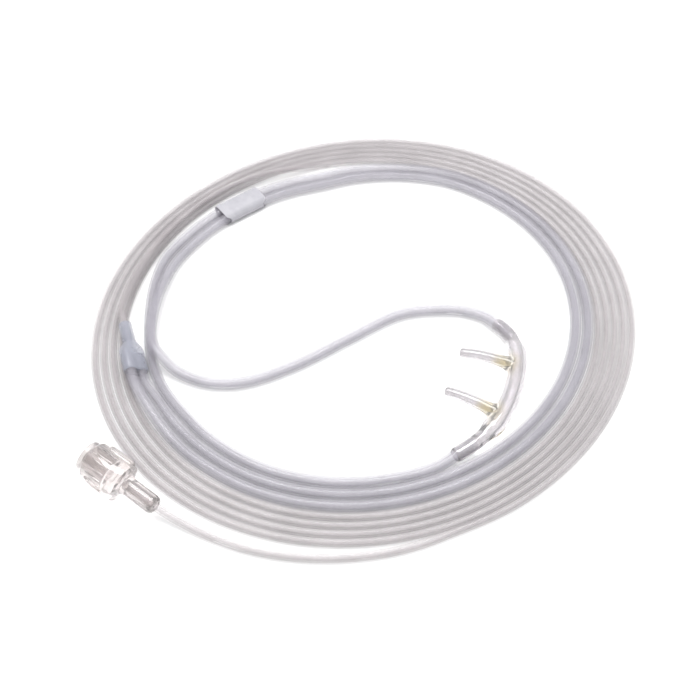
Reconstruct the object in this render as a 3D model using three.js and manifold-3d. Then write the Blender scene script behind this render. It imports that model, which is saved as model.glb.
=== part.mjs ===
// Carbon dioxide sampling nasal cannula, lying coiled on a level surface.
//
// A thin sampling line starts at a Luer lock connector, makes almost five flat turns and ends in a
// Y connector. Two thicker branch tubes leave the Y side by side, make one more turn inside the coil,
// pass through a slide and end in the two mouths of a soft nosepiece with two prongs.
//
// Millimetres, +Z up. The pieces are laid out around the middle of the coil, and the whole is then
// moved so that its origin is the middle of its bounding box's bottom.

import * as THREE from 'three';
import { mergeVertices } from 'three/addons/utils/BufferGeometryUtils.js';
import Module from 'manifold-3d';

const wasm = await Module();
wasm.setup();

// Tubing

const samplingDiameter = 2.5;
const branchDiameter = 3.5;
const tubeSides = 8;

// Soft tubes that lie side by side, and pieces that meet end to end
const strandGap = 0.15;
const touchGap = 0.3;

// Coil of the sampling line: a flat oval spiral, one layer high, wound anticlockwise and inwards.
// The oval grows rounder with each turn.

const coilRadius = 81.95;
const coilOvalness = 3.3;
const ovalnessLostPerTurn = 0.25;
const coilLongAxis = 42;
const coilPitch = 2.55;
const coilStart = -75;
const coilEnd = 4 * 360 + 100;
const coilStep = 7.5;

// The branch tubes lie against the inside of the coil over this stretch, in degrees

const branchTurnStart = 226;
const branchTurnEnd = 420;

// Luer lock connector: gripped collar around the male cone, two wings, boss and sleeve

const luerLength = 24.4;
const luerCollarDiameter = 10.8;
const luerCollarLength = 13.4;
const luerFrontDiameter = 9;
const luerFrontLength = 1.9;
const luerMouthDiameter = 6.9;
const luerMouthDepth = 9;
const luerConeTipDiameter = 3.95;
const luerConeRootDiameter = 4.5;
const luerConeRecess = 0.6;
const luerLumenDiameter = 2.2;
const luerGripCount = 16;
const luerGripWidth = 0.9;
const luerGripHeight = 0.4;
const luerGripStart = 4;
const luerGripLength = 5.2;
const luerWingSpan = 12.8;
const luerWingLength = 9;
const luerWingThickness = 3;
const luerBossLength = 1.6;
const luerSleeveDiameter = 5.2;
const luerSleeveRounding = 1.4;
const luerHeading = -35.5;
const luerTilt = 8.5;
const luerRoll = 42;
const luerBearing = 231.6;
const luerFromCoil = 5.5;

// Y connector: a round stem for the sampling line and a flat body for the two branch tubes

const yLength = 18.3;
const yStemDiameter = 3.9;
const yStemLength = 7.5;
const yShoulderLength = 2.4;
const yBodyWall = 0.25;
const yBodyRounding = 1.4;
const yHeading = -72.5;
const yRoll = 38;
const yTilt = 3.5;
const yBearing = 186;
const yOntoCoil = 0.1;

// Slide: a flat sleeve that runs along both branch tubes

const slideLength = 15.5;
const slideWall = 0.3;
const slideClearance = 0.2;
const slideCornerRadius = 2.1;

// The branch tubes keep to this round bend where the slide runs, so the slide turns about its centre

const slideBendCentre = new THREE.Vector2(1.7, -9.2);
const slideBendInset = 12.05;
const slideBendRadius = coilRadius - slideBendInset;
const slideBendStart = 103;
const slideBendEnd = 154;
const slideBendStep = 8.5;
const slideRest = 127;

// Nosepiece: a bent soft tube with a socket at each end and two prongs

const nosepieceBearing = 327.9;
const nosepieceFromCoil = 16.9;
const nosepieceDiameter = 6.2;
const nosepieceSocketDiameter = 4.4;
const nosepieceSocketLength = 9;
const nosepieceSwellLength = 9;
const nosepieceBore = 2.9;
const prongSpacing = 18.5;
const prongRootDiameter = 3.9;
const prongTipDiameter = 2.9;
const prongBore = 1.9;
const prongLength = 16;
const prongSpread = 4;
const prongRise = 1.9;
const prongArch = 0.7;

const radians = THREE.MathUtils.degToRad;

// Places

// Middle line of the sampling line, with the angle running on from turn to turn
function strandRadius(angle) {
  const turns = (angle - coilStart) / 360;
  const ovalness = coilOvalness - ovalnessLostPerTurn * turns;
  return coilRadius + ovalness * Math.cos(2 * radians(angle - coilLongAxis)) - coilPitch * turns;
}

function polar(angle, radius) {
  return new THREE.Vector2(radius * Math.cos(radians(angle)), radius * Math.sin(radians(angle)));
}

// Outer edge of the coil's first turn and inner edge of its last one
function coilOuterEdge(angle) {
  return strandRadius(angle) + samplingDiameter / 2;
}

function coilInnerEdge(angle) {
  return strandRadius(angle) - samplingDiameter / 2;
}

// The last turn lies inside the others, at angles from 100 to 460
function lastTurnRadius(angle) {
  return strandRadius(angle + coilEnd - 460);
}

function lastTurnInnerEdge(angle) {
  return lastTurnRadius(angle) - samplingDiameter / 2;
}

// Branch tube number 0 lies against the last turn, number 1 inside it and number 2, a tube that
// comes back from the slide, inside both
function branchRadius(angle, number) {
  const pitch = branchDiameter + strandGap;
  return lastTurnInnerEdge(angle) - strandGap - branchDiameter / 2 - number * pitch;
}

function at(point, height) {
  return new THREE.Vector3(point.x, point.y, height);
}

// Chosen points outside the first turn, at angles from -75 to 285, and inside the last one
function outside(angle, distance, height) {
  return at(polar(angle, coilOuterEdge(angle) + distance), height);
}

function inside(angle, distance, height) {
  return at(polar(angle, lastTurnInnerEdge(angle) - distance), height);
}

function branchPoint(angle, number) {
  return at(polar(angle, branchRadius(angle, number)), branchDiameter / 2);
}

// Shapes

function regularOutline(diameter, sides) {
  const outline = new THREE.Shape();
  for (let i = 0; i < sides; i += 1) {
    const turn = (2 * Math.PI * (i + 0.5)) / sides;
    const x = (diameter / 2) * Math.cos(turn);
    const y = (diameter / 2) * Math.sin(turn);
    if (i === 0) outline.moveTo(x, y);
    else outline.lineTo(x, y);
  }
  outline.closePath();
  return outline;
}

// Tube of the given diameter along a smooth line through the points, a step every three diameters
function tube(points, diameter) {
  const route = new THREE.CatmullRomCurve3(points, false, 'centripetal');
  const steps = Math.ceil(route.getLength() / (3 * diameter));
  return new THREE.ExtrudeGeometry(regularOutline(diameter, tubeSides), {
    steps,
    bevelEnabled: false,
    extrudePath: route,
  });
}

// Points around an edge whose radius depends on the angle
function edgePoints(radiusAt, from, to) {
  const count = Math.round((to - from) / coilStep);
  const points = [];
  for (let i = 0; i <= count; i += 1) {
    const angle = from + ((to - from) * i) / count;
    points.push(polar(angle, radiusAt(angle)));
  }
  return points;
}

// Flat solid of an outline, as thick as the tube it stands for, its edges cut like an eight-sided tube
function flatCoil(outline, diameter) {
  const cut = (diameter / 2) * (2 - Math.SQRT2);
  const solid = new THREE.ExtrudeGeometry(outline, {
    depth: diameter - 2 * cut,
    steps: 1,
    curveSegments: 1,
    bevelThickness: cut,
    bevelSize: cut,
    bevelOffset: -cut,
    bevelSegments: 1,
  });
  solid.translate(0, 0, cut);
  return solid;
}

function samplingCoil() {
  const outline = new THREE.Shape(edgePoints(coilOuterEdge, coilStart, coilStart + 360));
  outline.holes.push(new THREE.Path(edgePoints(coilInnerEdge, coilEnd - 360, coilEnd).reverse()));
  return flatCoil(outline, samplingDiameter);
}

function branchTurn(number) {
  const outer = (angle) => branchRadius(angle, number) + branchDiameter / 2;
  const inner = (angle) => branchRadius(angle, number) - branchDiameter / 2;
  const outline = new THREE.Shape([
    ...edgePoints(outer, branchTurnStart, branchTurnEnd),
    ...edgePoints(inner, branchTurnStart, branchTurnEnd).reverse(),
  ]);
  return flatCoil(outline, branchDiameter);
}

// Solid of revolution whose profile runs from the axis back to the axis, its axis along +X
function turned(profile, sides) {
  const points = profile.map(([along, radius]) => new THREE.Vector2(radius, along));
  const solid = new THREE.LatheGeometry(points, sides);
  solid.rotateZ(-Math.PI / 2);
  return solid;
}

// Bends a solid that lies along +X onto a line, so that X becomes the length along the line.
// The solid's own Z stays as near to upright as the line allows.
function bend(solid, line, length) {
  const place = solid.getAttribute('position');
  const up = new THREE.Vector3(0, 0, 1);
  for (let i = 0; i < place.count; i += 1) {
    const along = THREE.MathUtils.clamp(place.getX(i) / length, 0, 1);
    const tangent = line.getTangentAt(along);
    const side = up.clone().cross(tangent).normalize();
    const top = tangent.clone().cross(side);
    const point = line.getPointAt(along);
    point.addScaledVector(tangent, place.getX(i) - along * length);
    point.addScaledVector(side, place.getY(i));
    point.addScaledVector(top, place.getZ(i));
    place.setXYZ(i, point.x, point.y, point.z);
  }
  return solid;
}

// Joining and cutting

function toManifold(geometry) {
  const plain = geometry.clone();
  plain.deleteAttribute('normal');
  plain.deleteAttribute('uv');
  const merged = mergeVertices(plain, 1e-4);
  const mesh = new wasm.Mesh({
    numProp: 3,
    vertProperties: new Float32Array(merged.getAttribute('position').array),
    triVerts: new Uint32Array(merged.getIndex().array),
  });
  return new wasm.Manifold(mesh);
}

function toGeometry(solid) {
  const mesh = solid.getMesh();
  const geometry = new THREE.BufferGeometry();
  geometry.setAttribute('position', new THREE.BufferAttribute(new Float32Array(mesh.vertProperties), 3));
  geometry.setIndex(new THREE.BufferAttribute(new Uint32Array(mesh.triVerts), 1));
  geometry.computeVertexNormals();
  return geometry;
}

// Luer lock connector, front at X = 0 and sleeve towards +X

function luerConnector() {
  const bossEnd = luerCollarLength + luerBossLength;
  const body = toManifold(turned([
    [0, 0],
    [0, luerFrontDiameter / 2],
    [luerFrontLength, luerFrontDiameter / 2],
    [luerFrontLength, luerCollarDiameter / 2],
    [luerCollarLength, luerCollarDiameter / 2],
    [bossEnd, luerSleeveDiameter / 2],
    [luerLength - luerSleeveRounding, luerSleeveDiameter / 2],
    [luerLength, luerSleeveDiameter / 2 - luerSleeveRounding / 2],
    [luerLength, 0],
  ], 24));
  const mouth = toManifold(turned([
    [-1, 0],
    [-1, luerMouthDiameter / 2],
    [luerMouthDepth, luerMouthDiameter / 2],
    [luerMouthDepth, 0],
  ], 24));
  const cone = toManifold(turned([
    [luerConeRecess, 0],
    [luerConeRecess, luerConeTipDiameter / 2],
    [luerMouthDepth + 1, luerConeRootDiameter / 2],
    [luerMouthDepth + 1, 0],
  ], 16));
  const lumen = toManifold(turned([
    [-1, 0],
    [-1, luerLumenDiameter / 2],
    [luerLength - luerSleeveRounding * 2, luerLumenDiameter / 2],
    [luerLength - luerSleeveRounding * 2, 0],
  ], 8));
  const wings = new THREE.BoxGeometry(luerWingLength, luerWingSpan, luerWingThickness);
  wings.translate(luerCollarLength - luerWingLength / 2, 0, 0);
  let solid = body.add(toManifold(wings));
  const gripMiddle = luerGripStart + luerGripLength / 2;
  for (let i = 0; i < luerGripCount; i += 1) {
    const grip = new THREE.BoxGeometry(luerGripLength, luerGripWidth, 2 * luerGripHeight);
    grip.translate(gripMiddle, 0, luerCollarDiameter / 2);
    grip.rotateX((2 * Math.PI * i) / luerGripCount);
    solid = solid.add(toManifold(grip));
  }
  return toGeometry(solid.subtract(mouth).add(cone).subtract(lumen));
}

// Y connector, stem end at X = 0 and body towards +X, flat in X and Y

const yBodyWidth = 2 * branchDiameter + strandGap + 2 * yBodyWall;
const yBodyHeight = branchDiameter + 2 * yBodyWall;

function yConnector() {
  const shoulderEnd = yStemLength + yShoulderLength;
  const outline = new THREE.Shape([
    new THREE.Vector2(0, -yStemDiameter / 2),
    new THREE.Vector2(yStemLength, -yStemDiameter / 2),
    new THREE.Vector2(shoulderEnd, -yBodyWidth / 2),
    new THREE.Vector2(yLength, -yBodyWidth / 2),
    new THREE.Vector2(yLength, yBodyWidth / 2),
    new THREE.Vector2(shoulderEnd, yBodyWidth / 2),
    new THREE.Vector2(yStemLength, yStemDiameter / 2),
    new THREE.Vector2(0, yStemDiameter / 2),
  ]);
  const solid = new THREE.ExtrudeGeometry(outline, {
    depth: yBodyHeight - 2 * yBodyRounding,
    steps: 1,
    bevelThickness: yBodyRounding,
    bevelSize: yBodyRounding,
    bevelOffset: -yBodyRounding,
    bevelSegments: 3,
  });
  solid.translate(0, 0, yBodyRounding - yBodyHeight / 2);
  return solid;
}

// Slide: a straight flat sleeve, its hole bent like the tubes it runs on

const slideHoleWidth = 2 * branchDiameter + strandGap + 2 * slideClearance;
const slideHoleHeight = branchDiameter + 2 * slideClearance;
const slideWidth = slideHoleWidth + 2 * slideWall;
const slideHeight = slideHoleHeight + 2 * slideWall;

function roundedRectangle(width, height, radius) {
  const x = width / 2;
  const y = height / 2;
  const outline = new THREE.Shape();
  outline.moveTo(-x + radius, -y);
  outline.lineTo(x - radius, -y);
  outline.absarc(x - radius, -y + radius, radius, -Math.PI / 2, 0);
  outline.lineTo(x, y - radius);
  outline.absarc(x - radius, y - radius, radius, 0, Math.PI / 2);
  outline.lineTo(-x + radius, y);
  outline.absarc(-x + radius, y - radius, radius, Math.PI / 2, Math.PI);
  outline.lineTo(-x, -y + radius);
  outline.absarc(-x + radius, -y + radius, radius, Math.PI, 1.5 * Math.PI);
  return outline;
}

function slideBendPoint(angle, offset, height) {
  return at(polar(angle, slideBendRadius + offset).add(slideBendCentre), height);
}

function slideGeometry() {
  const outside = new THREE.ExtrudeGeometry(roundedRectangle(slideWidth, slideHeight, slideCornerRadius), {
    depth: slideLength,
    curveSegments: 4,
    bevelEnabled: false,
  });
  outside.translate(0, 0, -slideLength / 2);
  outside.rotateX(Math.PI / 2);
  const holeReach = slideLength;
  const line = [];
  for (let i = -4; i <= 4; i += 1) {
    const turn = ((i / 4) * holeReach) / slideBendRadius;
    line.push(new THREE.Vector3(
      slideBendRadius * (Math.cos(turn) - 1),
      slideBendRadius * Math.sin(turn),
      0,
    ));
  }
  const hole = new THREE.ExtrudeGeometry(
    roundedRectangle(slideHoleHeight, slideHoleWidth, slideCornerRadius - slideWall),
    {
      steps: 8,
      curveSegments: 4,
      bevelEnabled: false,
      extrudePath: new THREE.CatmullRomCurve3(line),
    },
  );
  return toGeometry(toManifold(outside).subtract(toManifold(hole)));
}

// Nosepiece: its line on the surface, from the lower mouth to the upper one

const nosepieceMiddle = inside(nosepieceBearing, nosepieceFromCoil, 0);

const nosepieceLine = new THREE.CatmullRomCurve3([
  [-19.0, -25.9, 2.6],
  [-13.2, -21.9, 2.95],
  [-7.5, -16.3, 3.3],
  [-2.9, -8.3, 3.5],
  [0.0, 0.0, 3.6],
  [1.4, 8.0, 3.5],
  [0.9, 14.4, 3.2],
  [-0.9, 18.7, 2.8],
  [-3.7, 22.1, 2.5],
].map(([x, y, z]) => nosepieceMiddle.clone().add(new THREE.Vector3(x, y, z))), false, 'centripetal');

function prongLine(along, length, spread) {
  const root = nosepieceLine.getPointAt(along / length);
  const tangent = nosepieceLine.getTangentAt(along / length).setZ(0).normalize();
  const out = new THREE.Vector3(-tangent.y, tangent.x, 0);
  out.applyAxisAngle(new THREE.Vector3(0, 0, 1), radians(spread));
  const up = new THREE.Vector3(0, 0, 1);
  const tip = root.clone().addScaledVector(out, prongLength).addScaledVector(up, prongRise);
  const middle = root.clone().lerp(tip, 0.5).addScaledVector(up, 2 * prongArch);
  return new THREE.QuadraticBezierCurve3(root, middle, tip);
}

function nosepiece() {
  const length = nosepieceLine.getLength();
  const profile = [[0, 0], [0, nosepieceSocketDiameter / 2]];
  const boreProfile = [[-1, 0], [-1, nosepieceBore / 2]];
  const steps = 18;
  for (let i = 1; i < steps; i += 1) {
    const along = (length * i) / steps;
    const fromEnd = Math.min(along, length - along);
    const swell = THREE.MathUtils.smoothstep(
      fromEnd,
      nosepieceSocketLength,
      nosepieceSocketLength + nosepieceSwellLength,
    );
    const diameter = THREE.MathUtils.lerp(nosepieceSocketDiameter, nosepieceDiameter, swell);
    profile.push([along, diameter / 2]);
    boreProfile.push([along, nosepieceBore / 2]);
  }
  profile.push([length, nosepieceSocketDiameter / 2], [length, 0]);
  boreProfile.push([length + 1, nosepieceBore / 2], [length + 1, 0]);
  let solid = toManifold(bend(turned(profile, 14), nosepieceLine, length));
  let bore = toManifold(bend(turned(boreProfile, 8), nosepieceLine, length));
  for (const sign of [-1, 1]) {
    const line = prongLine((length + sign * prongSpacing) / 2, length, -sign * prongSpread);
    const prongReach = line.getLength();
    const prongProfile = [[0, 0]];
    const prongSteps = 6;
    for (let i = 0; i <= prongSteps; i += 1) {
      const share = i / prongSteps;
      const diameter = THREE.MathUtils.lerp(prongRootDiameter, prongTipDiameter, share);
      prongProfile.push([prongReach * share, diameter / 2]);
    }
    prongProfile.push([prongReach, 0]);
    solid = solid.add(toManifold(bend(turned(prongProfile, 12), line, prongReach)));
    const prongBoreProfile = [
      [0, 0],
      [0, prongBore / 2],
      [prongReach / 3, prongBore / 2],
      [(2 * prongReach) / 3, prongBore / 2],
      [prongReach + 1, prongBore / 2],
      [prongReach + 1, 0],
    ];
    bore = bore.add(toManifold(bend(turned(prongBoreProfile, 8), line, prongReach)));
  }
  return toGeometry(solid.subtract(bore));
}

// Routes of the free stretches of tube

const samplingRest = samplingDiameter / 2;
const branchRest = branchDiameter / 2;

// Where the Luer's and the Y's axes lie

// The Luer lies on its lower wing, rolled about its axis, its sleeve lower than its front
const luerWingReach = (luerWingSpan / 2) * Math.sin(radians(luerRoll))
  + (luerWingThickness / 2) * Math.cos(radians(luerRoll));
const luerRest = luerWingReach * Math.cos(radians(luerTilt));
const luerSleeveHeight = luerRest - (luerLength - luerCollarLength) * Math.sin(radians(luerTilt));
const luerTurn = new THREE.Euler(radians(luerRoll), radians(luerTilt), radians(luerHeading), 'ZYX');
const luerPlace = new THREE.Matrix4()
  .makeRotationFromEuler(luerTurn)
  .setPosition(outside(luerBearing, luerFromCoil, luerSleeveHeight))
  .multiply(new THREE.Matrix4().makeTranslation(-luerLength, 0, 0));

// The Y leans on the coil's inner turn, its stem highest
const yHeight = samplingDiameter + yStemDiameter / 2 + 2 * touchGap;
const yPlace = new THREE.Matrix4()
  .makeRotationFromEuler(new THREE.Euler(radians(-yRoll), radians(yTilt), radians(yHeading), 'ZYX'))
  .setPosition(inside(yBearing, -yOntoCoil, yHeight));
const yDirection = new THREE.Vector3(1, 0, 0).transformDirection(yPlace);

function leadRoute() {
  const end = polar(coilStart - 0.3, strandRadius(coilStart) + 0.3);
  return [
    new THREE.Vector3(luerLength + touchGap, 0, 0).applyMatrix4(luerPlace),
    outside(235.5, 4.9, samplingRest + 1.15),
    outside(242.3, 4.4, samplingRest),
    outside(249.4, 4.3, samplingRest),
    outside(256.5, 3.9, samplingRest),
    outside(263.2, 3.4, samplingRest),
    outside(270, 2.85, samplingRest),
    outside(275.6, 2.4, samplingRest),
    outside(280.7, 1.8, samplingRest),
    at(end, samplingRest),
  ];
}

// The last turn climbs onto the turn below it and ends in the Y's stem
function tailRoute() {
  const onTop = samplingDiameter + touchGap + samplingRest;
  const end = new THREE.Vector3(-touchGap, 0, 0).applyMatrix4(yPlace);
  return [
    at(polar(coilEnd + 0.3, strandRadius(coilEnd) - 0.2), samplingRest),
    at(polar(108, strandRadius(coilEnd + 8) - 0.2), samplingRest + 1.0),
    at(polar(118, strandRadius(coilEnd + 18) + 0.5), onTop),
    at(polar(132, lastTurnRadius(132)), onTop + 0.1),
    at(polar(146, lastTurnRadius(146)), onTop + 0.1),
    at(polar(160, lastTurnRadius(160)), onTop + 0.1),
    at(polar(172, lastTurnRadius(172)), onTop + 0.2),
    end.clone().addScaledVector(yDirection, -5),
    end,
  ];
}

// From the Y's body down to the start of the turn
function yOutlet(number) {
  const sideways = (number === 0 ? -1 : 1) * (branchDiameter + strandGap) / 2;
  return new THREE.Vector3(yLength + touchGap, sideways, 0).applyMatrix4(yPlace);
}

function branchLeadRoute(number) {
  const start = yOutlet(number);
  const drop = start.z - branchRest;
  return [
    start,
    start.clone().addScaledVector(yDirection, 2.5),
    at(polar(209, branchRadius(209, number) + 0.7), branchRest + drop * 0.85),
    at(polar(216, branchRadius(216, number) + 0.3), branchRest + drop * 0.5),
    at(polar(222, branchRadius(222, number) + 0.1), branchRest + drop * 0.1),
    branchPoint(branchTurnStart - 0.3, number),
  ];
}

// Both tubes leave the turn and keep side by side round the slide's bend
function pairRoute(number) {
  const offset = (number === 0 ? 1 : -1) * (branchDiameter + strandGap) / 2;
  const slideAxis = slideHeight / 2;
  const route = [
    branchPoint(branchTurnEnd + 0.3, number),
    branchPoint(branchTurnEnd + 4, number),
    inside(438, 5 - offset, branchRest),
    inside(452, 6.35 - offset, branchRest + 0.4),
  ];
  for (let angle = slideBendStart; angle <= slideBendEnd; angle += slideBendStep) {
    route.push(slideBendPoint(angle, offset, slideAxis));
  }
  return route;
}

function lowerBranchRoute() {
  const route = [
    ...pairRoute(0),
    inside(169.2, 4.5, branchRest + 0.15),
    inside(176.3, 5.7, branchRest),
    inside(183.5, 6.7, branchRest),
    inside(190.5, 7.15, branchRest),
    inside(197.5, 7.25, branchRest),
    inside(204, 7.6, branchRest),
    inside(210.5, 8.35, branchRest),
    inside(217, 9.05, branchRest),
  ];
  for (let angle = 226; angle <= 281; angle += 13.75) {
    route.push(branchPoint(angle, 2));
  }
  const mouth = nosepieceLine.getPointAt(0);
  const inward = nosepieceLine.getTangentAt(0);
  route.push(mouth.clone().addScaledVector(inward, -5).setZ(2.1));
  route.push(mouth.clone().addScaledVector(inward, -touchGap));
  return route;
}

function upperBranchRoute() {
  const route = [
    ...pairRoute(1),
    inside(169.1, 7.7, branchRest + 1.7),
    inside(177.5, 8.1, branchRest + 3.1),
    inside(185.5, 8.05, branchRest + 3.8),
    inside(191.5, 7.9, branchRest + 3.95),
    inside(195.6, 8.6, branchRest + 3.75),
    inside(199, 10.6, branchRest + 2.5),
    inside(203.3, 13.6, branchRest + 0.6),
    inside(210.8, 20.3, branchRest),
    inside(217.5, 29, branchRest),
    inside(225.6, 44.5, branchRest),
    inside(247.6, 61.2, branchRest),
    inside(356.9, 58.6, branchRest),
    inside(362.9, 47, branchRest),
    inside(360.9, 39.1, branchRest),
  ];
  const mouth = nosepieceLine.getPointAt(1);
  const outward = nosepieceLine.getTangentAt(1);
  route.push(mouth.clone().addScaledVector(outward, 4).setZ(2.1));
  route.push(mouth.clone().addScaledVector(outward, touchGap));
  return route;
}

// Materials

function plastic(colour, roughness, opacity) {
  return new THREE.MeshStandardMaterial({
    color: colour,
    roughness,
    metalness: 0,
    transparent: opacity < 1,
    opacity,
  });
}

const samplingTubing = () => plastic(0xc9c6c4, 0.3, 0.8);
const branchTubing = () => plastic(0xbfbdc6, 0.3, 0.8);

// Assembly

const pieces = new THREE.Group();

function add(name, geometry, material) {
  const mesh = new THREE.Mesh(geometry, material);
  mesh.name = name;
  pieces.add(mesh);
  return mesh;
}

const luer = add('luer_connector', luerConnector(), plastic(0xc5c0c0, 0.2, 0.85));
luer.applyMatrix4(luerPlace);

add('sampling_line_lead', tube(leadRoute(), samplingDiameter), samplingTubing());
add('sampling_line_coil', samplingCoil(), samplingTubing());
add('sampling_line_tail', tube(tailRoute(), samplingDiameter), samplingTubing());

const y = add('y_connector', yConnector(), plastic(0xa9acb6, 0.3, 0.9));
y.applyMatrix4(yPlace);

const branchNames = ['lower_branch', 'upper_branch'];
branchNames.forEach((name, number) => {
  add(`${name}_lead`, tube(branchLeadRoute(number), branchDiameter), branchTubing());
  add(`${name}_turn`, branchTurn(number), branchTubing());
});
add('lower_branch_run', tube(lowerBranchRoute(), branchDiameter), branchTubing());
add('upper_branch_run', tube(upperBranchRoute(), branchDiameter), branchTubing());

const slide = add('slide', slideGeometry(), plastic(0xcfced4, 0.6, 1));
slide.position.copy(slideBendPoint(slideRest, 0, slideHeight / 2));
slide.rotation.z = radians(slideRest);

add('nosepiece', nosepiece(), plastic(0xd6d4cf, 0.2, 0.8));

const cannula = new THREE.Group();
cannula.add(pieces);
const bounds = new THREE.Box3().setFromObject(cannula, true);
const middle = bounds.getCenter(new THREE.Vector3());
pieces.position.set(-middle.x, -middle.y, -bounds.min.z);
cannula.updateMatrixWorld(true);

export default cannula;
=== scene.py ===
# %% [markdown]
# # A carbon dioxide sampling nasal cannula
#
# The real object is a length of thin clear tube with a Luer lock connector at one end. At its
# other end a Y connector splits it into two thicker branch tubes, which pass through a slide
# and end in a soft nosepiece with prongs. It lies coiled, as it comes out of its bag.
#
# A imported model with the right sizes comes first. What follows puts the fine shapes and the
# finishes around it, so every point below is in that model's own frame, in metres.

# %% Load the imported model
import math

import bmesh
import bpy
from mathutils import Matrix, Vector


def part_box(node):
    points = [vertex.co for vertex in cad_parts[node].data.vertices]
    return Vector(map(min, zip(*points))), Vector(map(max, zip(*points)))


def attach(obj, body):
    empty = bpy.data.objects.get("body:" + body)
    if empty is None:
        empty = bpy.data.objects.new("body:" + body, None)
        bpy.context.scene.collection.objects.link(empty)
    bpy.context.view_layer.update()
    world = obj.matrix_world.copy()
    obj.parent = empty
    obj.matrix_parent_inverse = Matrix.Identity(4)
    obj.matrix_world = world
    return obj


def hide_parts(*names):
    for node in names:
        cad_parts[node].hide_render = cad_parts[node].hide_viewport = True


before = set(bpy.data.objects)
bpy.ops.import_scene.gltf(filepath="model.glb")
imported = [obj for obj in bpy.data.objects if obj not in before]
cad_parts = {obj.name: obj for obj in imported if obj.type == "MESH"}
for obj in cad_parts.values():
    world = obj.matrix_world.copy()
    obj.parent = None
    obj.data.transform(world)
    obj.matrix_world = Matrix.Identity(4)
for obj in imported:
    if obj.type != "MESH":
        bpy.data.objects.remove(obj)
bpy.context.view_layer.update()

MM = 0.001

# %% [markdown]
# ## The coil's own middle
#
# The turns of the coil are worked out around its middle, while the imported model's origin is
# the middle of its whole box. The coil's box tells where the one lies in the other. The radius
# of a strand changes slowly with the angle, and the angle runs on from turn to turn. Angles are
# in degrees from the X axis, and on the last turn they are counted from 100 to 460.

# %% Sizes of the tubing and of the coil
SAMPLING_DIAMETER = 2.5 * MM
SAMPLING_WALL = 0.6 * MM
BRANCH_DIAMETER = 3.5 * MM
BRANCH_WALL = 0.7 * MM
STRAND_GAP = 0.15 * MM
TOUCH_GAP = 0.3 * MM
BRANCH_PITCH = BRANCH_DIAMETER + STRAND_GAP

COIL_RADIUS = 81.95 * MM
COIL_OVALNESS = 3.3 * MM
OVALNESS_LOST_PER_TURN = 0.25 * MM
COIL_LONG_AXIS = 42
COIL_PITCH = 2.55 * MM
COIL_START = -75
COIL_END = 4 * 360 + 100
COIL_STEP = 7.5
LAST_TURN_END = 460


def strand_radius(angle):
    turns = (angle - COIL_START) / 360
    ovalness = COIL_OVALNESS - OVALNESS_LOST_PER_TURN * turns
    wave = math.cos(2 * math.radians(angle - COIL_LONG_AXIS))
    return COIL_RADIUS + ovalness * wave - COIL_PITCH * turns


def last_turn_edge(angle):
    """Inner edge of the innermost turn, at angles from 100 to 460."""
    return strand_radius(angle + COIL_END - LAST_TURN_END) - SAMPLING_DIAMETER / 2


def branch_radius(angle, number):
    """Tube 0 lies against the coil, tube 1 inside it and tube 2 inside both."""
    return last_turn_edge(angle) - STRAND_GAP - BRANCH_DIAMETER / 2 - number * BRANCH_PITCH


def polar(angle, radius, height=0.0):
    turn = math.radians(angle)
    return Vector((radius * math.cos(turn), radius * math.sin(turn), height))


edge = [
    polar(COIL_START + i * COIL_STEP, strand_radius(COIL_START + i * COIL_STEP)
          + SAMPLING_DIAMETER / 2)
    for i in range(int(360 / COIL_STEP) + 1)
]
coil_low, coil_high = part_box("sampling_line_coil")
COIL_MIDDLE = Vector((
    (coil_low[0] + coil_high[0] - min(p.x for p in edge) - max(p.x for p in edge)) / 2,
    (coil_low[1] + coil_high[1] - min(p.y for p in edge) - max(p.y for p in edge)) / 2,
    0,
))
print("coil's middle, mm:", [round(c / MM, 3) for c in COIL_MIDDLE])

# %% [markdown]
# ## The camera
#
# The photograph looks down on the coil at about 51 degrees from close by, so the far side of
# the coil is clearly smaller than the near one. A target on the floor, a distance and an angle
# say all that the camera needs.

# %% Camera
CAMERA_TARGET = COIL_MIDDLE + Vector((-4.2, -13.4, 0)) * MM
CAMERA_DISTANCE = 334 * MM
CAMERA_ELEVATION = math.radians(50.7)
CAMERA_LENS = 57.37

camera = bpy.data.objects.new("camera", bpy.data.cameras.new("camera"))
camera.data.sensor_width = 36
camera.data.lens = CAMERA_LENS
camera.data.clip_start = 0.01
camera.location = CAMERA_TARGET + CAMERA_DISTANCE * Vector((
    0, -math.cos(CAMERA_ELEVATION), math.sin(CAMERA_ELEVATION)))
camera.rotation_euler = (math.pi / 2 - CAMERA_ELEVATION, 0, 0)
bpy.context.scene.collection.objects.link(camera)
bpy.context.scene.camera = camera
print("camera:", [round(c, 4) for c in camera.location])

# %% [markdown]
# ## Lines that the tubes follow
#
# A tube is first a list of chosen points. A Catmull-Rom line runs through every one of them
# and bends evenly between them, which is what a springy tube does, and its centripetal form
# makes no loops where points lie close together.


# %% A smooth line through points
def smooth_line(points, step):
    points = [Vector(p) for p in points]
    before = 2 * points[0] - points[1]
    after = 2 * points[-1] - points[-2]
    knots = [before, *points, after]
    line = []
    for p0, p1, p2, p3 in zip(knots, knots[1:], knots[2:], knots[3:]):
        t0 = 0.0
        t1 = t0 + (p1 - p0).length ** 0.5
        t2 = t1 + (p2 - p1).length ** 0.5
        t3 = t2 + (p3 - p2).length ** 0.5
        count = max(1, math.ceil((p2 - p1).length / step))
        for i in range(count):
            t = t1 + (t2 - t1) * i / count
            a1 = p0.lerp(p1, (t - t0) / (t1 - t0))
            a2 = p1.lerp(p2, (t - t1) / (t2 - t1))
            a3 = p2.lerp(p3, (t - t2) / (t3 - t2))
            b1 = a1.lerp(a2, (t - t0) / (t2 - t0))
            b2 = a2.lerp(a3, (t - t1) / (t3 - t1))
            line.append(b1.lerp(b2, (t - t1) / (t2 - t1)))
    return [*line, points[-1]]


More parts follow.
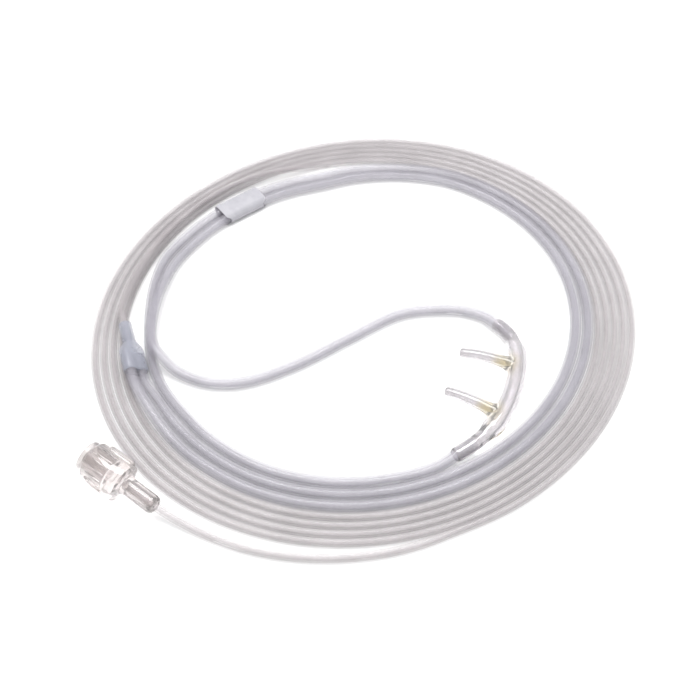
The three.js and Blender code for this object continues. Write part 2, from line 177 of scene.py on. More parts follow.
def line_length(line):
    return sum((b - a).length for a, b in zip(line, line[1:]))


def coil_point(angle, radius, height):
    return COIL_MIDDLE + polar(angle, radius, height)


def outside(*rows):
    """Points outside the first turn: angle, then distance and height in millimetres."""
    edge_radius = SAMPLING_DIAMETER / 2
    return [
        coil_point(angle, strand_radius(angle) + edge_radius + distance * MM, height * MM)
        for angle, distance, height in rows
    ]


def inside(*rows):
    """Points inside the last turn: angle, then distance and height in millimetres."""
    return [
        coil_point(angle, last_turn_edge(angle) - distance * MM, height * MM)
        for angle, distance, height in rows
    ]


# %% [markdown]
# ## Where the fittings lie
#
# The Luer connector and the Y connector each have a frame of their own, with X along the
# fitting's axis. The Luer lies on the tip of its lower wing, so its height follows from the
# wing's reach. The Y leans over the coil's inner edge, with its stem on top of the coil.

# %% Frames of the Luer connector and the Y connector
LUER_LENGTH = 24.4 * MM
LUER_COLLAR_LENGTH = 13.4 * MM
LUER_WING_SPAN = 12.8 * MM
LUER_WING_THICKNESS = 3 * MM
LUER_HEADING, LUER_TILT, LUER_ROLL = (math.radians(a) for a in (-35.5, 8.5, 42))
LUER_BEARING, LUER_FROM_COIL = 231.6, 5.5

Y_LENGTH = 18.3 * MM
Y_STEM_DIAMETER = 3.9 * MM
Y_HEADING, Y_TILT, Y_ROLL = (math.radians(a) for a in (-72.5, 3.5, -38))
Y_BEARING, Y_ONTO_COIL = 186, 0.1


def fitting_frame(place, heading, tilt, roll):
    turn = (
        Matrix.Rotation(heading, 4, "Z") @ Matrix.Rotation(tilt, 4, "Y")
        @ Matrix.Rotation(roll, 4, "X")
    )
    return Matrix.Translation(place) @ turn


wing_reach = (
    LUER_WING_SPAN / 2 * math.sin(LUER_ROLL) + LUER_WING_THICKNESS / 2 * math.cos(LUER_ROLL)
)
luer_rest = wing_reach * math.cos(LUER_TILT)
sleeve_height = luer_rest - (LUER_LENGTH - LUER_COLLAR_LENGTH) * math.sin(LUER_TILT)
luer_end = outside((LUER_BEARING, LUER_FROM_COIL, sleeve_height / MM))[0]
luer_frame = fitting_frame(
    luer_end, LUER_HEADING, LUER_TILT, LUER_ROLL,
) @ Matrix.Translation((-LUER_LENGTH, 0, 0))

y_height = SAMPLING_DIAMETER + Y_STEM_DIAMETER / 2 + 2 * TOUCH_GAP
y_stem_end = inside((Y_BEARING, -Y_ONTO_COIL, y_height / MM))[0]
y_frame = fitting_frame(y_stem_end, Y_HEADING, Y_TILT, Y_ROLL)
y_direction = (y_frame.to_3x3() @ Vector((1, 0, 0))).normalized()
print("Luer's sleeve end:", [round(c / MM, 2) for c in luer_frame @ Vector((LUER_LENGTH, 0, 0))])

# %% [markdown]
# ## The nosepiece's line
#
# The soft nosepiece bends in an arc between its two mouths. Its line is needed now, because
# both branch tubes end at its mouths.

# %% The nosepiece's line, from its lower mouth to its upper one
NOSEPIECE_STEP = 0.5 * MM
NOSEPIECE_MIDDLE = (327.9, 16.9, 0)
# Millimetres from the nosepiece's middle: to the right, to the back and up from the floor
NOSEPIECE_POINTS = (
    (-19.0, -25.9, 2.6), (-13.2, -21.9, 2.95), (-7.5, -16.3, 3.3), (-2.9, -8.3, 3.5),
    (0.0, 0.0, 3.6), (1.4, 8.0, 3.5), (0.9, 14.4, 3.2), (-0.9, 18.7, 2.8), (-3.7, 22.1, 2.5),
)
nosepiece_middle = inside(NOSEPIECE_MIDDLE)[0]
nosepiece_line = smooth_line(
    [nosepiece_middle + Vector(row) * MM for row in NOSEPIECE_POINTS], NOSEPIECE_STEP)
nosepiece_length = line_length(nosepiece_line)


def along_line(line, distance):
    """Point and direction of a line at a distance from its start, or beyond its ends."""
    for a, b in zip(line, line[1:]):
        step = (b - a).length
        if distance <= step:
            break
        distance -= step
    else:
        distance += step
    direction = (b - a).normalized()
    return a + direction * distance, direction


lower_mouth, lower_inward = along_line(nosepiece_line, 0)
upper_mouth, upper_outward = along_line(nosepiece_line, nosepiece_length)
print("nosepiece's length, mm:", round(nosepiece_length / MM, 1))

# %% [markdown]
# ## The sampling line's route
#
# One thin tube runs from the Luer connector, along the front of the coil, through four and a
# half turns and up onto the coil's own top, where it ends in the Y's stem. The free ends are
# chosen points. The turns are worked out, with a point every 15 degrees.

# %% Points of the sampling line
SAMPLING_REST = SAMPLING_DIAMETER / 2
ON_TOP = SAMPLING_DIAMETER + TOUCH_GAP + SAMPLING_REST
TURN_STEP = 15
TUBE_IN_LUER = 9 * MM
TUBE_IN_STEM = 5.5 * MM


def over_last_turn(angle, height):
    return coil_point(angle, strand_radius(angle + COIL_END - LAST_TURN_END), height)


sampling_lead = [
    luer_frame @ Vector((LUER_LENGTH - TUBE_IN_LUER, 0, 0)),
    luer_frame @ Vector((LUER_LENGTH - TUBE_IN_LUER / 2, 0, 0)),
    luer_frame @ Vector((LUER_LENGTH + TOUCH_GAP, 0, 0)),
    *outside(
        (235.5, 4.9, 2.4), (242.3, 4.4, 1.25), (249.4, 4.3, 1.25), (256.5, 3.9, 1.25),
        (263.2, 3.4, 1.25), (270, 2.85, 1.25), (275.6, 2.4, 1.25), (280.7, 1.8, 1.25),
    ),
]
sampling_turns = [
    coil_point(angle, strand_radius(angle), SAMPLING_REST)
    for angle in range(COIL_START, COIL_END, TURN_STEP)
]
y_stem = y_frame @ Vector((-TOUCH_GAP, 0, 0))
sampling_tail = [
    coil_point(COIL_END, strand_radius(COIL_END), SAMPLING_REST),
    coil_point(108, strand_radius(COIL_END + 8) - 0.2 * MM, SAMPLING_REST + 1.0 * MM),
    coil_point(118, strand_radius(COIL_END + 18) + 0.5 * MM, ON_TOP),
    over_last_turn(132, ON_TOP + 0.1 * MM),
    over_last_turn(146, ON_TOP + 0.1 * MM),
    over_last_turn(160, ON_TOP + 0.1 * MM),
    over_last_turn(172, ON_TOP + 0.2 * MM),
    y_stem - y_direction * 5 * MM,
    y_stem,
    y_stem + y_direction * (TUBE_IN_STEM + TOUCH_GAP),
]
sampling_route = [*sampling_lead, *sampling_turns, *sampling_tail]
print("sampling line's points:", len(sampling_route))

# %% [markdown]
# ## The branch tubes' routes
#
# Both leave the Y side by side, drop to the floor inside the coil and run round it. They
# pass through the slide, which needs them on a true arc. Then they part: one goes on round
# the coil to the nosepiece's lower mouth, and the other climbs over it and crosses the coil's
# open middle in an S to the upper mouth. A tube on the floor has its line 1.75 mm up.

# %% Points of the branch tubes
BRANCH_REST = BRANCH_DIAMETER / 2
BRANCH_TURN_ANGLES = range(229, 425, 13)
INNER_TURN_ANGLES = (226, 239.75, 253.5, 267.25, 281)
# Down from the Y: the angle, millimetres out from the rest and the share of the drop to go
FALL_FROM_Y = ((209, 0.7, 0.85), (216, 0.3, 0.5), (222, 0.1, 0.1))
TUBE_IN_Y = 6 * MM
TUBE_IN_NOSEPIECE = 7 * MM
MOUTH_APPROACH = 2.1 * MM
SLIDE_BEND_CENTRE = Vector((1.7, -9.2, 0)) * MM
SLIDE_BEND_RADIUS = 69.9 * MM
SLIDE_BEND_START = 103
SLIDE_BEND_END = 154
SLIDE_BEND_STEP = 8.5
SLIDE_WALL = 0.3 * MM
SLIDE_CLEARANCE = 0.2 * MM
SLIDE_HEIGHT = BRANCH_DIAMETER + 2 * SLIDE_CLEARANCE + 2 * SLIDE_WALL


def branch_point(angle, number):
    return coil_point(angle, branch_radius(angle, number), BRANCH_REST)


def slide_bend_point(angle, offset):
    arc = polar(angle, SLIDE_BEND_RADIUS + offset, SLIDE_HEIGHT / 2)
    return COIL_MIDDLE + SLIDE_BEND_CENTRE + arc


def branch_start(number):
    sideways = (-1 if number == 0 else 1) * BRANCH_PITCH / 2
    start = y_frame @ Vector((Y_LENGTH + TOUCH_GAP, sideways, 0))
    drop = start.z - BRANCH_REST
    falling = [
        coil_point(angle, branch_radius(angle, number) + out * MM, BRANCH_REST + drop * share)
        for angle, out, share in FALL_FROM_Y
    ]
    return [start - y_direction * (TUBE_IN_Y + TOUCH_GAP), start, start + y_direction * 2.5 * MM,
            *falling]


def branch_pair(number):
    """From the Y round the coil and through the slide."""
    offset = (1 if number == 0 else -1) * BRANCH_PITCH / 2
    bend_points = int((SLIDE_BEND_END - SLIDE_BEND_START) / SLIDE_BEND_STEP) + 1
    bend = [
        slide_bend_point(SLIDE_BEND_START + SLIDE_BEND_STEP * i, offset)
        for i in range(bend_points)
    ]
    return [
        *branch_start(number),
        *(branch_point(angle, number) for angle in BRANCH_TURN_ANGLES),
        *inside((438, 5 - offset / MM, 1.75), (452, 6.35 - offset / MM, 2.15)),
        *bend,
    ]


def at_height(point, height):
    return Vector((point.x, point.y, height))


lower_route = [
    *branch_pair(0),
    *inside((169.2, 4.5, 1.9), (176.3, 5.7, 1.75), (183.5, 6.7, 1.75), (190.5, 7.15, 1.75),
            (197.5, 7.25, 1.75), (204, 7.6, 1.75), (210.5, 8.35, 1.75), (217, 9.05, 1.75)),
    *(branch_point(angle, 2) for angle in INNER_TURN_ANGLES),
    at_height(lower_mouth - lower_inward * 5 * MM, MOUTH_APPROACH),
    lower_mouth,
    along_line(nosepiece_line, TUBE_IN_NOSEPIECE / 2)[0],
    along_line(nosepiece_line, TUBE_IN_NOSEPIECE)[0],
]
upper_route = [
    *branch_pair(1),
    *inside((169.1, 7.7, 3.45), (177.5, 8.1, 4.85), (185.5, 8.05, 5.55), (191.5, 7.9, 5.7),
            (195.6, 8.6, 5.5), (199, 10.6, 4.25), (203.3, 13.6, 2.35), (210.8, 20.3, 1.75),
            (217.5, 29, 1.75), (225.6, 44.5, 1.75), (247.6, 61.2, 1.75), (356.9, 58.6, 1.75),
            (362.9, 47, 1.75), (360.9, 39.1, 1.75)),
    at_height(upper_mouth + upper_outward * 4 * MM, MOUTH_APPROACH),
    upper_mouth,
    along_line(nosepiece_line, nosepiece_length - TUBE_IN_NOSEPIECE / 2)[0],
    along_line(nosepiece_line, nosepiece_length - TUBE_IN_NOSEPIECE)[0],
]
print("branch tubes' points:", len(lower_route), len(upper_route))

# %% [markdown]
# ## Making a hollow tube
#
# A curve with a round bevel sweeps the outside of a tube without a twist. Made into a mesh
# with its ends left open, it gets its wall from the Solidify modifier, which thickens it
# inwards and closes the two rims. So the clear tube has a real bore to look into.


# %% A hollow tube along a line
LINE_STEP = 2.5 * MM
SAMPLING_ROUNDNESS, BRANCH_ROUNDNESS = 10, 12
WELD_MM = 0.001


def hollow_tube(name, line, diameter, wall, roundness):
    curve = bpy.data.curves.new(name, "CURVE")
    curve.dimensions = "3D"
    curve.bevel_depth = diameter / 2
    curve.bevel_resolution = roundness
    spline = curve.splines.new("POLY")
    spline.points.add(len(line) - 1)
    for point, place in zip(spline.points, line):
        point.co = (*place, 1)
    sweep = bpy.data.objects.new(name, curve)
    mesh = bpy.data.meshes.new_from_object(sweep)
    bpy.data.objects.remove(sweep)
    shape = bmesh.new()
    shape.from_mesh(mesh)
    bmesh.ops.remove_doubles(shape, verts=shape.verts, dist=WELD_MM * MM)
    bmesh.ops.recalc_face_normals(shape, faces=shape.faces)
    for face in shape.faces:
        face.smooth = True
    shape.to_mesh(mesh)
    shape.free()
    mesh.name = name
    tube = bpy.data.objects.new(name, mesh)
    bpy.context.scene.collection.objects.link(tube)
    thicken = tube.modifiers.new("wall", "SOLIDIFY")
    thicken.thickness = wall
    thicken.offset = -1
    thicken.use_rim = True
    return tube


sampling_path = smooth_line(sampling_route, LINE_STEP)
lower_path = smooth_line(lower_route, LINE_STEP)
upper_path = smooth_line(upper_route, LINE_STEP)
sampling_line = hollow_tube(
    "sampling_line", sampling_path, SAMPLING_DIAMETER, SAMPLING_WALL, SAMPLING_ROUNDNESS)
lower_branch = hollow_tube(
    "lower_branch", lower_path, BRANCH_DIAMETER, BRANCH_WALL, BRANCH_ROUNDNESS)
upper_branch = hollow_tube(
    "upper_branch", upper_path, BRANCH_DIAMETER, BRANCH_WALL, BRANCH_ROUNDNESS)
for tube, path in ((sampling_line, sampling_path), (lower_branch, lower_path),
                   (upper_branch, upper_path)):
    print(tube.name, "is", round(line_length(path), 3), "m long")

# %% [markdown]
# ## Tools for the fittings
#
# The fittings are made in millimetres around the origin and put in place afterwards. A loft
# joins cross-sections one after the other: each is a rounded rectangle, and a circle where its
# corner radius is as large as its half width. A Boolean joins or cuts two closed shapes.


# %% Lofts, spun shapes and Booleans
def ring(station, segments):
    place, side, up, half_width, half_height, corner = station
    points = []
    for i in range(segments):
        turn = 2 * math.pi * (i + 0.5) / segments
        x = math.copysign(half_width - corner, math.cos(turn)) + corner * math.cos(turn)
        z = math.copysign(half_height - corner, math.sin(turn)) + corner * math.sin(turn)
        points.append(place + x * side + z * up)
    return points


def make_piece(name, shape):
    mesh = bpy.data.meshes.new(name)
    bmesh.ops.recalc_face_normals(shape, faces=shape.faces)
    shape.to_mesh(mesh)
    shape.free()
    piece = bpy.data.objects.new(name, mesh)
    bpy.context.scene.collection.objects.link(piece)
    return piece


def loft(name, stations, segments=32):
    shape = bmesh.new()
    rings = [[shape.verts.new(p) for p in ring(s, segments)] for s in stations]
    for low, high in zip(rings, rings[1:]):
        for i in range(segments):
            j = (i + 1) % segments
            shape.faces.new((low[i], low[j], high[j], high[i]))
    shape.faces.new(rings[0])
    shape.faces.new(rings[-1])
    return make_piece(name, shape)


def straight_loft(name, rows, y=0.0, segments=32):
    """Rows of length along X, half width, half height and corner radius."""
    side, up = Vector((0, 1, 0)), Vector((0, 0, 1))
    return loft(name, [(Vector((x, y, 0)), side, up, w, h, r) for x, w, h, r in rows], segments)


def spun(name, section, steps):
    """A closed half section of length along X and radius, turned round the X axis."""
    shape = bmesh.new()
    verts = [shape.verts.new((x, 0, radius)) for x, radius in section]
    edges = [shape.edges.new((a, b)) for a, b in zip(verts, verts[1:] + verts[:1])]
    bmesh.ops.spin(shape, geom=verts + edges, axis=(1, 0, 0), cent=(0, 0, 0),
                   angle=2 * math.pi, steps=steps, use_merge=True)
    bmesh.ops.remove_doubles(shape, verts=shape.verts, dist=WELD_MM)
    return make_piece(name, shape)


def rounded_boxes(name, size, matrices, radius, segments):
    shape = bmesh.new()
    for matrix in matrices:
        bmesh.ops.create_cube(shape, size=1, matrix=matrix @ Matrix.Diagonal((*size, 1)))
    bmesh.ops.bevel(shape, geom=shape.edges[:], offset=radius, segments=segments, profile=0.5,
                    affect="EDGES", material=-1)
    return make_piece(name, shape)


def baked(piece):
    """The piece with its modifiers made into its mesh."""
    graph = bpy.context.evaluated_depsgraph_get()
    mesh = bpy.data.meshes.new_from_object(piece.evaluated_get(graph))
    piece.modifiers.clear()
    old, piece.data = piece.data, mesh
    mesh.name = piece.name
    bpy.data.meshes.remove(old)
    return piece


def combine(piece, other, operation):
    tool = piece.modifiers.new("tool", "BOOLEAN")
    tool.operation = operation
    tool.solver = "EXACT"
    tool.object = other
    baked(piece)
    bpy.data.objects.remove(other)


def put_in_place(piece, place, sharp_angle):
    piece.data.transform(place @ Matrix.Scale(MM, 4))
    for face in piece.data.polygons:
        face.use_smooth = True
    piece.data.set_sharp_from_angle(angle=math.radians(sharp_angle))
    print(piece.name, len(piece.data.polygons), "faces")


# %% [markdown]
# ## The Luer lock connector
#
# One half section holds the whole turned shape: front ring, collar, boss and sleeve outside,
# and inside the bore for the tube, the lumen, the male cone and the collar's mouth. Two wings
# for the fingers are then joined to it, and fourteen grips, which leave out the two of sixteen
# even places where the wings stand.

# %% Luer lock connector
WING_SIZE, WING_PLACE, WING_EDGE = (9, 12.8, 3), (8.9, 0, 0), 1.3
GRIP_SIZE, GRIP_PLACE, GRIP_EDGE = (5.2, 0.9, 0.8), (6.6, 0, 5.4), 0.18
GRIP_PLACES, WING_PLACES = 16, (4, 12)
# Length from the front and radius, in millimetres
MOUTH_SECTION = [(-1, 2.4), (-1, 3.45), (8.9, 3.45), (8.9, 2.4)]
LUER_SECTION = [
    (0.2, 3.45), (0.0, 3.65), (0.0, 4.0), (0.1, 4.3), (0.4, 4.5), (1.4, 4.5), (1.7, 4.6),
    (2.0, 5.1), (2.5, 5.4), (12.6, 5.4), (13.2, 5.2), (13.5, 4.7), (13.8, 3.7), (14.4, 3.0),
    (15.0, 2.7), (15.6, 2.6), (22.9, 2.6), (23.7, 2.45), (24.2, 2.1), (24.4, 1.7), (24.4, 1.4),
    (24.2, 1.3), (15.2, 1.3), (15.2, 1.1), (0.7, 1.1), (0.6, 1.3), (0.6, 1.8), (0.75, 1.97),
    (9.0, 2.25), (9.0, 3.45),
]
luer = spun("luer_lock_connector", LUER_SECTION, 64)
wings = rounded_boxes("wings", WING_SIZE, [Matrix.Translation(WING_PLACE)], WING_EDGE, 5)
combine(luer, wings, "UNION")
grips = rounded_boxes("grips", GRIP_SIZE, [
    Matrix.Rotation(2 * math.pi * i / GRIP_PLACES, 4, "X") @ Matrix.Translation(GRIP_PLACE)
    for i in range(GRIP_PLACES) if i not in WING_PLACES
], GRIP_EDGE, 2)
combine(luer, grips, "UNION")
combine(luer, spun("mouth", MOUTH_SECTION, 48), "DIFFERENCE")
put_in_place(luer, luer_frame, 35)

# %% [markdown]
# ## The Y connector
#
# A round stem widens into a flat body with rounded edges. Its three sockets are cut into it,
# and a flat chamber joins them.

# %% Y connector
STEM_SOCKET_RADIUS, BRANCH_SOCKET_RADIUS, BRANCH_SOCKET_OFFSET = 1.27, 1.77, 1.825
CHAMBER_ROWS = [(5.8, 0.8, 0.8, 0.8), (8.5, 1.0, 0.8, 0.8), (12.2, 2.9, 0.8, 0.8)]
Y_ROWS = [
    (0.0, 1.6, 1.6, 1.6), (0.15, 1.85, 1.85, 1.85), (0.5, 1.95, 1.95, 1.95),
    (6.9, 1.95, 1.95, 1.95), (7.7, 2.15, 2.0, 1.95), (8.7, 2.8, 2.0, 1.9),
    (9.6, 3.5, 2.0, 1.8), (10.4, 3.75, 2.0, 1.75), (11.2, 3.82, 2.0, 1.7),
    (17.5, 3.82, 2.0, 1.7), (18.0, 3.7, 1.9, 1.7), (18.3, 3.4, 1.6, 1.5),
]


def round_rows(start, end, radius):
    return [(start, radius, radius, radius), (end, radius, radius, radius)]


y_piece = straight_loft("branch_y", Y_ROWS)
stem_socket = straight_loft("stem_socket", round_rows(-1, 6.0, STEM_SOCKET_RADIUS))
combine(y_piece, stem_socket, "DIFFERENCE")
for side in (-1, 1):
    branch_socket = straight_loft(
        "branch_socket", round_rows(12, 19.5, BRANCH_SOCKET_RADIUS), y=side * BRANCH_SOCKET_OFFSET)
    combine(y_piece, branch_socket, "DIFFERENCE")
combine(y_piece, straight_loft("chamber", CHAMBER_ROWS), "DIFFERENCE")
put_in_place(y_piece, y_frame, 50)

# %% [markdown]
# ## The slide
#
# A thin frosted sleeve holds both branch tubes side by side. Its hole follows the same bend as
# the tubes, so that it can be pushed along them.

# %% Slide
SLIDE_REST = 127
SLIDE_LENGTH = 15.5
# Share of the half length, and how far the rounded edge stands back there in millimetres
SLIDE_EDGES = ((-1, 0.12), (-0.985, 0.04), (-0.96, 0), (0.96, 0), (0.985, 0.04), (1, 0.12))
HOLE_STEPS, HOLE_REACH = 6, 0.6
slide_half_height = SLIDE_HEIGHT / MM / 2
slide_half_width = slide_half_height + BRANCH_PITCH / MM / 2
hole_half_height = slide_half_height - SLIDE_WALL / MM
hole_half_width = slide_half_width - SLIDE_WALL / MM
side, up = Vector((1, 0, 0)), Vector((0, 0, 1))
slide_stations = []
for share, inset in SLIDE_EDGES:
    place = Vector((0, share * SLIDE_LENGTH / 2, 0))
    slide_stations.append((place, side, up, slide_half_width - inset,
                           slide_half_height - inset, slide_half_height - inset))
slide_piece = loft("tube_slide", slide_stations, 48)
bend_radius = SLIDE_BEND_RADIUS / MM
hole_stations = []
for i in range(-HOLE_STEPS, HOLE_STEPS + 1):
    turn = i / HOLE_STEPS * SLIDE_LENGTH * HOLE_REACH / bend_radius
    place = Vector((bend_radius * (math.cos(turn) - 1), bend_radius * math.sin(turn), 0))
    across = Vector((math.cos(turn), math.sin(turn), 0))
    hole_stations.append((place, across, up, hole_half_width, hole_half_height,
                          hole_half_height))
combine(slide_piece, loft("slide_hole", hole_stations, 48), "DIFFERENCE")
slide_centre = slide_bend_point(SLIDE_REST, 0)
put_in_place(slide_piece, Matrix.Translation(slide_centre)
             @ Matrix.Rotation(math.radians(SLIDE_REST), 4, "Z"), 40)

# %% [markdown]
# ## The nosepiece
#
# Real ones are dipped, so every corner is a soft fillet. The body and the prongs are lofted,
# joined, remeshed into one even skin and smoothed, and only then are the bores cut. Its sizes
# are in millimetres, and its radii follow from the distance along its line.

# %% The nosepiece's sizes and radii
SOCKET_RADIUS, LOWER_RADIUS, UPPER_RADIUS = 2.2, 3.3, 2.95
LOWER_SOCKET_LENGTH, UPPER_SOCKET_LENGTH, SWELL_LENGTH = 10, 9, 5
TUBE_SOCKET_RADIUS, TUBE_SOCKET_DEPTH = 1.77, 8
BORE_RADIUS = 1.45
PRONG_SPACING, PRONG_LENGTH, PRONG_SPREAD = 18.5, 17, 4
PRONG_RISE, PRONG_ARCH = 1.9, 1.2
PRONG_ROOT_RADIUS, PRONG_TIP_RADIUS, PRONG_BORE_RADIUS = 1.95, 1.45, 0.95
PRONG_SHARES = (0, 0.1, 0.16, 0.22, 0.3, 0.45, 0.6, 0.75, 0.9, 0.97, 0.99, 1)
BODY_STEPS, PRONG_STEPS = 90, 20
MOUTH_ROUNDING, ROOT_FLARE, TIP_ROUNDING = 0.25, 0.5, 0.3
SKIN_VOXEL, SMOOTHING_ROUNDS = 0.32, 6
UP = Vector((0, 0, 1))
line_mm = [point / MM for point in nosepiece_line]
length_mm = nosepiece_length / MM


def smoothstep(value, low, high):
    share = min(max((value - low) / (high - low), 0), 1)
    return share * share * (3 - 2 * share)


def round_station(place, direction, radius):
    across = UP.cross(direction).normalized()
    return place, across, direction.cross(across), radius, radius, radius


def body_radius(distance):
    from_top = length_mm - distance
    lower = smoothstep(distance, LOWER_SOCKET_LENGTH, LOWER_SOCKET_LENGTH + SWELL_LENGTH)
    upper = smoothstep(from_top, UPPER_SOCKET_LENGTH, UPPER_SOCKET_LENGTH + SWELL_LENGTH)
    middle = LOWER_RADIUS + (UPPER_RADIUS - LOWER_RADIUS) * distance / length_mm
    rim = MOUTH_ROUNDING * (1 - smoothstep(min(distance, from_top), -0.2, 0.4))
    return SOCKET_RADIUS + (middle - SOCKET_RADIUS) * min(lower, upper) - rim


def bore_radius(distance):
    from_end = min(distance, length_mm - distance)
    return TUBE_SOCKET_RADIUS if from_end < TUBE_SOCKET_DEPTH else BORE_RADIUS


print("nosepiece's radius at its middle, mm:", round(body_radius(length_mm / 2), 2))

# %% The nosepiece's body
body_stations = []
for i in range(BODY_STEPS + 1):
    distance = length_mm * i / BODY_STEPS
    body_stations.append(round_station(*along_line(line_mm, distance), body_radius(distance)))
nosepiece = loft("prong_nosepiece", body_stations, 32)
bore_stations = []
for i in range(-2, BODY_STEPS + 3):
    distance = length_mm * i / BODY_STEPS
    bore_stations.append(round_station(*along_line(line_mm, distance), bore_radius(distance)))
print("body and bore:", len(body_stations), "and", len(bore_stations), "stations")

# %% [markdown]
# Each prong is a curved cone, flared where it leaves the body and rounded at its tip. It rises
# a little towards the tip and arches between, and the pair spreads by a few degrees.

# %% The two prongs
prong_lines = []
for sign in (-1, 1):
    root, tangent = along_line(line_mm, (length_mm + sign * PRONG_SPACING) / 2)
    flat = Vector((tangent.x, tangent.y, 0)).normalized()
    out = Matrix.Rotation(math.radians(-sign * PRONG_SPREAD), 3, "Z") @ Vector(
        (-flat.y, flat.x, 0))
    tip = root + out * PRONG_LENGTH + UP * PRONG_RISE
    crown = root.lerp(tip, 0.5) + UP * 2 * PRONG_ARCH
    prong_line = [
        root.lerp(crown, t / PRONG_STEPS).lerp(crown.lerp(tip, t / PRONG_STEPS), t / PRONG_STEPS)
        for t in range(PRONG_STEPS + 1)
    ]
    prong_lines.append(prong_line)
    reach = line_length(prong_line)
    prong_stations = []
    for share in PRONG_SHARES:
        flare = ROOT_FLARE * (1 - smoothstep(share, 0.1, 0.32))
        rim = TIP_ROUNDING * smoothstep(share, 0.96, 1)
        radius = PRONG_ROOT_RADIUS + (PRONG_TIP_RADIUS - PRONG_ROOT_RADIUS) * share
        place, direction = along_line(prong_line, reach * share)
        prong_stations.append(round_station(place, direction, radius + flare - rim))
    combine(nosepiece, loft("prong", prong_stations, 24), "UNION")
    print("prong's length, mm:", round(reach, 1))

# %% One skin, and the bores
skin = nosepiece.modifiers.new("skin", "REMESH")
skin.mode = "VOXEL"
skin.voxel_size = SKIN_VOXEL
baked(nosepiece)
shape = bmesh.new()
shape.from_mesh(nosepiece.data)
for _ in range(SMOOTHING_ROUNDS):
    bmesh.ops.smooth_vert(shape, verts=shape.verts, factor=0.5, use_axis_x=True,
                          use_axis_y=True, use_axis_z=True)
shape.to_mesh(nosepiece.data)
shape.free()
combine(nosepiece, loft("bore", bore_stations, 24), "DIFFERENCE")
for prong_line in prong_lines:
    reach = line_length(prong_line)
    prong_bore = [
        round_station(*along_line(prong_line, distance), PRONG_BORE_RADIUS)
        for distance in (0, reach / 4, reach / 2, reach * 3 / 4, reach, reach + 1)
    ]
    combine(nosepiece, loft("prong_bore", prong_bore, 20), "DIFFERENCE")
put_in_place(nosepiece, Matrix.Identity(4), 45)

# %% [markdown]
# ## Materials
#
# Every colour is written as a hex value, as a paint chart gives it, and one function turns it
# into the linear numbers that the shader works with. Another adds a node with its settings and
# its links, so that each finish below reads as a short list.


# %% Colours and nodes
def linear(hex_colour):
    parts = [int(hex_colour[i:i + 2], 16) / 255 for i in (1, 3, 5)]
    return (*((c / 12.92 if c <= 0.04045 else ((c + 0.055) / 1.055) ** 2.4) for c in parts), 1)


def add_node(material, kind, links=None, **settings):
    node = material.node_tree.nodes.new(kind)
    for name, value in settings.items():
        if hasattr(node, name):
            setattr(node, name, value)
        else:
            node.inputs[name.replace("_", " ")].default_value = value
    for name, source in (links or {}).items():
        material.node_tree.links.new(source, node.inputs[name])
    return node


def new_material(name):
    material = bpy.data.materials.new(name)
    material.use_nodes = True
    return material, material.node_tree.nodes["Principled BSDF"]


def link(material, source, target):
    material.node_tree.links.new(source, target)


# %% [markdown]
# All six plastics share one recipe. Two close shades lie in soft clouds, the gloss varies with
# them, and a fine relief stands for the mould's surface. The tubes are see-through by their
# alpha, since light goes straight through a thin wall, while the thick clear pieces bend it.

# %% One recipe for all the plastics
CLOUD_LOW, CLOUD_HIGH = 0.35, 0.65
GRAIN_SIZE = 0.5 * MM


def moulded_plastic(name, light, dark, cloud_mm, gloss, alpha, relief=0.0, coat=0.0,
                    clearness=0.0):
    """Two close shades in soft clouds, gloss that varies with them, and a fine relief."""
    material, shader = new_material(name)
    place = add_node(material, "ShaderNodeTexCoord")
    cloud = add_node(material, "ShaderNodeTexNoise", {"Vector": place.outputs["Object"]},
                     Scale=1 / (cloud_mm * MM), Detail=3.0, Roughness=0.6)
    tint = add_node(material, "ShaderNodeValToRGB", {"Fac": cloud.outputs["Fac"]})
    tint.color_ramp.elements[0].position = CLOUD_LOW
    tint.color_ramp.elements[0].color = linear(dark)
    tint.color_ramp.elements[1].position = CLOUD_HIGH
    tint.color_ramp.elements[1].color = linear(light)
    link(material, tint.outputs["Color"], shader.inputs["Base Color"])
    haze = add_node(material, "ShaderNodeMapRange", {"Value": cloud.outputs["Fac"]},
                    From_Min=0.3, From_Max=0.7, To_Min=gloss[0], To_Max=gloss[1])
    link(material, haze.outputs["Result"], shader.inputs["Roughness"])
    if relief:
        grain = add_node(material, "ShaderNodeTexNoise", {"Vector": place.outputs["Object"]},
                         Scale=1 / GRAIN_SIZE, Detail=2.0)
        bump = add_node(material, "ShaderNodeBump", {"Height": grain.outputs["Fac"]},
                        Strength=relief, Distance=0.05 * MM)
        link(material, bump.outputs["Normal"], shader.inputs["Normal"])
    shader.inputs["IOR"].default_value = 1.53
    shader.inputs["Alpha"].default_value = alpha
    shader.inputs["Coat Weight"].default_value = coat
    shader.inputs["Coat Roughness"].default_value = 0.08
    shader.inputs["Transmission Weight"].default_value = clearness
    return material, shader, tint


